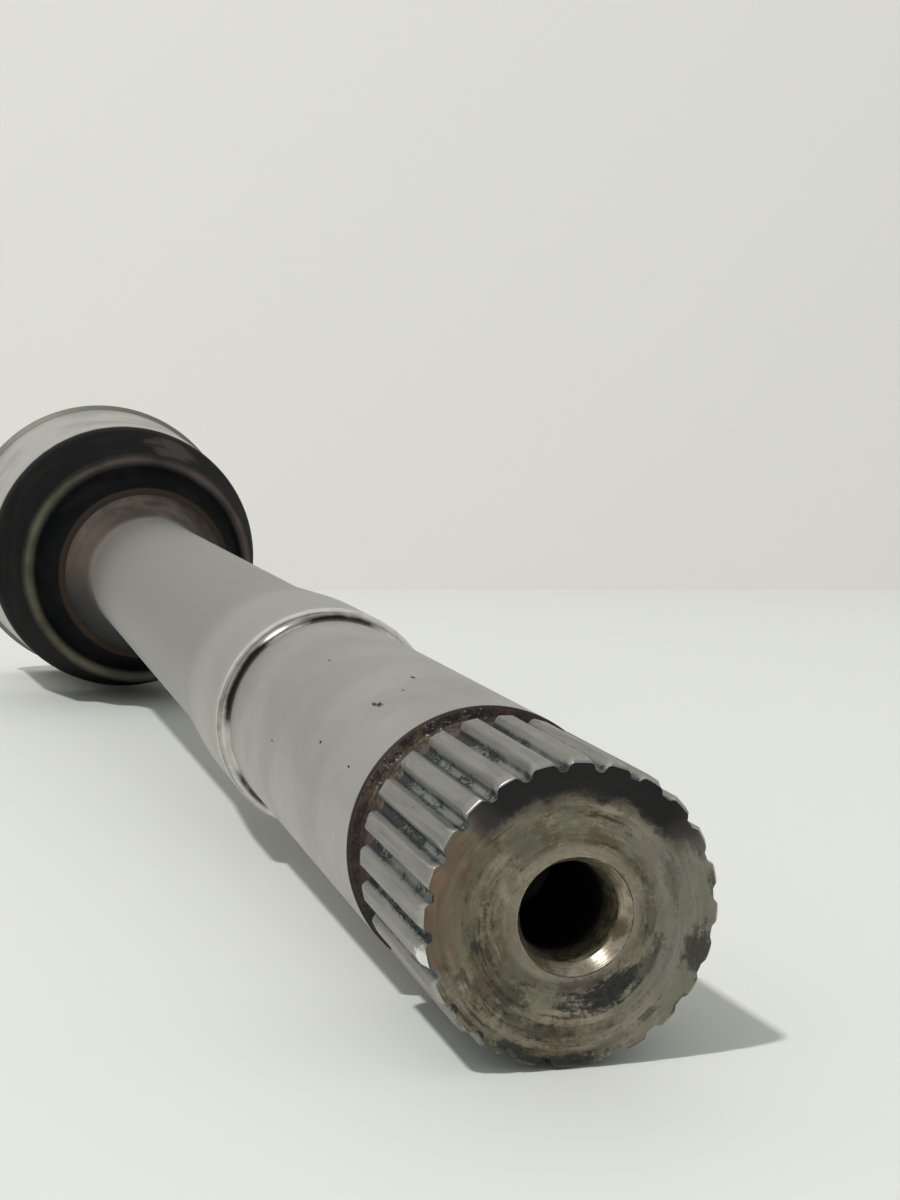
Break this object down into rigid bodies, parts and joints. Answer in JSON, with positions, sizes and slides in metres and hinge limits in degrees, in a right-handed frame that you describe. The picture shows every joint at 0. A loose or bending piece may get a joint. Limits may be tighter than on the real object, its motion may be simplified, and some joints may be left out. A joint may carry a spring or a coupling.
{
  "type": "splined shaft",
  "caption": "Turned steel shaft with an involute splined end, relief groove, ground journal, raised collar and plain shank, forged in one with a flared head.",
  "frame": {"origin": "centre of the flat back face of the head, on the shaft's axis", "axes": "+Z along the shaft's axis, from the head towards the splined end; +X through the middle of a spline tooth"},
  "size_m": [0.0762, 0.0762, 0.412],
  "materials": {
    "shaft_steel": "satin turned and ground, grimy and rust-stained in places"
  },
  "bodies": {
    "root": {"splined_shaft": "shaft_steel"}
  },
  "joints": []
}
